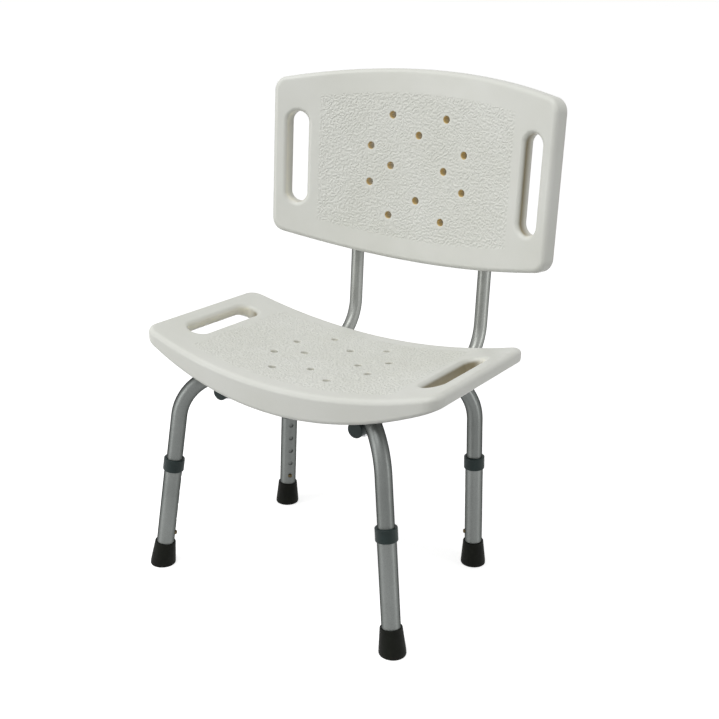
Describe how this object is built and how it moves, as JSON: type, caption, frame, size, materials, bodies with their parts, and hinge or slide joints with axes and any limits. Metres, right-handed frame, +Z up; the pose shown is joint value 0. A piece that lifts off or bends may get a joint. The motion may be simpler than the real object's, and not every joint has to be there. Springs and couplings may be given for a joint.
{
  "type": "shower chair",
  "caption": "Shower chair with a dished moulded seat and a curved moulded backrest on bent tubes, and telescopic legs locked by snap buttons",
  "frame": {"origin": "on the floor, under the middle of the chair's bounding box", "axes": "+Z up, the chair faces -Y, +X to the viewer's right in a front view; metres"},
  "size_m": [0.5402, 0.4646, 0.7893],
  "materials": {
    "white_plastic": "off-white moulded polyethylene, pebbled in the middle of both panels",
    "tube": "satin anodised aluminium tube",
    "grey_plastic": "dark slate grey moulded plastic",
    "rubber": "black moulded rubber",
    "brass": "plain brass",
    "steel": "zinc plated steel"
  },
  "bodies": {
    "frame": {"seat_panel": "white_plastic", "backrest_panel": "white_plastic", "frame_screws": "steel", "frame_washers": "steel", "frame_saddles": "grey_plastic", "leg_screws": "steel", "seat_inserts": "brass", "backrest_screws": "steel", "backrest_inserts": "brass", "left_back_tube": "tube", "left_tube_cap": "grey_plastic", "left_tube_plug": "grey_plastic", "right_back_tube": "tube", "right_tube_cap": "grey_plastic", "right_tube_plug": "grey_plastic", "front_left_leg_tube": "tube", "front_left_button_spring": "steel", "front_right_leg_tube": "tube", "front_right_button_spring": "steel", "rear_left_leg_tube": "tube", "rear_left_button_spring": "steel", "rear_right_leg_tube": "tube", "rear_right_button_spring": "steel"},
    "front_left_extension": {"front_left_extension": "tube", "front_left_collar": "grey_plastic", "front_left_foot": "rubber", "front_left_foot_washer": "steel"},
    "front_left_button": {"front_left_button": "brass"},
    "front_right_extension": {"front_right_extension": "tube", "front_right_collar": "grey_plastic", "front_right_foot": "rubber", "front_right_foot_washer": "steel"},
    "front_right_button": {"front_right_button": "brass"},
    "rear_left_extension": {"rear_left_extension": "tube", "rear_left_collar": "grey_plastic", "rear_left_foot": "rubber", "rear_left_foot_washer": "steel"},
    "rear_left_button": {"rear_left_button": "brass"},
    "rear_right_extension": {"rear_right_extension": "tube", "rear_right_collar": "grey_plastic", "rear_right_foot": "rubber", "rear_right_foot_washer": "steel"},
    "rear_right_button": {"rear_right_button": "brass"}
  },
  "joints": [
    {"name": "front_left_height", "type": "slide", "parent": "frame", "child": "front_left_extension", "axis": [-0.1256, -0.0576, -0.9904], "range_m": [0, 0.1016], "deforming": ["front_left_button"]},
    {"name": "front_left_press", "type": "slide", "parent": "frame", "child": "front_left_button", "axis": [-0.7857, -0.6037, 0.1348], "range_m": [0, 0.0045], "stiffness_N_per_m": 800, "springref_m": -0.002, "deforming": ["front_left_button_spring"]},
    {"name": "front_right_height", "type": "slide", "parent": "frame", "child": "front_right_extension", "axis": [0.1256, -0.0576, -0.9904], "range_m": [0, 0.1016], "deforming": ["front_right_button"]},
    {"name": "front_right_press", "type": "slide", "parent": "frame", "child": "front_right_button", "axis": [0.7857, -0.6037, 0.1348], "range_m": [0, 0.0045], "stiffness_N_per_m": 800, "springref_m": -0.002, "deforming": ["front_right_button_spring"]},
    {"name": "rear_left_height", "type": "slide", "parent": "frame", "child": "rear_left_extension", "axis": [-0.0398, 0.0139, -0.9991], "range_m": [0, 0.1016], "deforming": ["rear_left_button"]},
    {"name": "rear_left_press", "type": "slide", "parent": "frame", "child": "rear_left_button", "axis": [-0.7945, 0.6059, 0.0401], "range_m": [0, 0.0045], "stiffness_N_per_m": 800, "springref_m": -0.002, "deforming": ["rear_left_button_spring"]},
    {"name": "rear_right_height", "type": "slide", "parent": "frame", "child": "rear_right_extension", "axis": [0.0398, 0.0139, -0.9991], "range_m": [0, 0.1016], "deforming": ["rear_right_button"]},
    {"name": "rear_right_press", "type": "slide", "parent": "frame", "child": "rear_right_button", "axis": [0.7945, 0.6059, 0.0401], "range_m": [0, 0.0045], "stiffness_N_per_m": 800, "springref_m": -0.002, "deforming": ["rear_right_button_spring"]}
  ]
}
